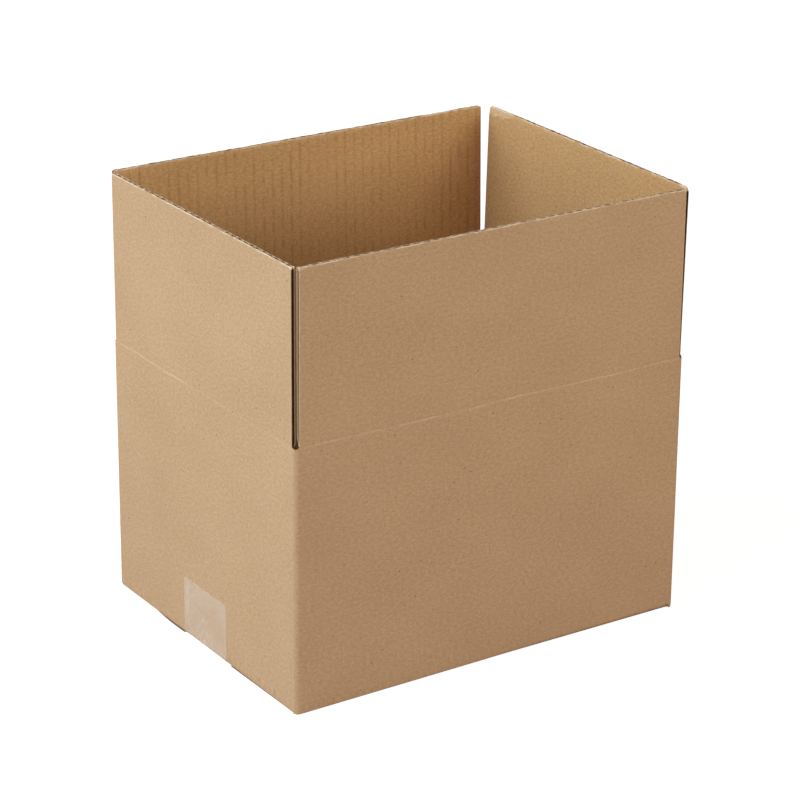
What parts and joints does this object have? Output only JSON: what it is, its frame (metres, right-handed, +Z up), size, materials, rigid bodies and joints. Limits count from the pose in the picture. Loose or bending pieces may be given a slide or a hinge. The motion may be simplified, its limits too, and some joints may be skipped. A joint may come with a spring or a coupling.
{
  "type": "open cardboard box",
  "caption": "Open-topped shipping box folded from fluted board, with upright hinged top flaps and a flat bottom closed by clear tape.",
  "frame": {"origin": "middle of the taped underside, on the surface that the box rests on", "axes": "+X along the long walls, -Y towards the front long wall, +Z up"},
  "size_m": [0.2719, 0.2087, 0.2662],
  "materials": {
    "kraft_board": "matt kraft liner with faint fibres",
    "clear_tape": "thin clear film, slightly milky"
  },
  "bodies": {
    "carton": {"box_body": "kraft_board", "bottom_tape": "clear_tape"},
    "front_flap": {"front_flap": "kraft_board"},
    "back_flap": {"back_flap": "kraft_board"},
    "left_flap": {"left_flap": "kraft_board"},
    "right_flap": {"right_flap": "kraft_board"}
  },
  "joints": [
    {"name": "front_score", "type": "hinge", "parent": "carton", "child": "front_flap", "pos_m": [0, -0.103, 0.16365], "axis": [-1, 0, 0], "range_deg": [-175, 90]},
    {"name": "back_score", "type": "hinge", "parent": "carton", "child": "back_flap", "pos_m": [0, 0.103, 0.16365], "axis": [1, 0, 0], "range_deg": [-173.5, 91.5]},
    {"name": "left_score", "type": "hinge", "parent": "carton", "child": "left_flap", "pos_m": [-0.1345, 0, 0.16035], "axis": [0, 1, 0], "range_deg": [-175, 90]},
    {"name": "right_score", "type": "hinge", "parent": "carton", "child": "right_flap", "pos_m": [0.1345, 0, 0.16035], "axis": [0, -1, 0], "range_deg": [-173.5, 91.5]}
  ]
}
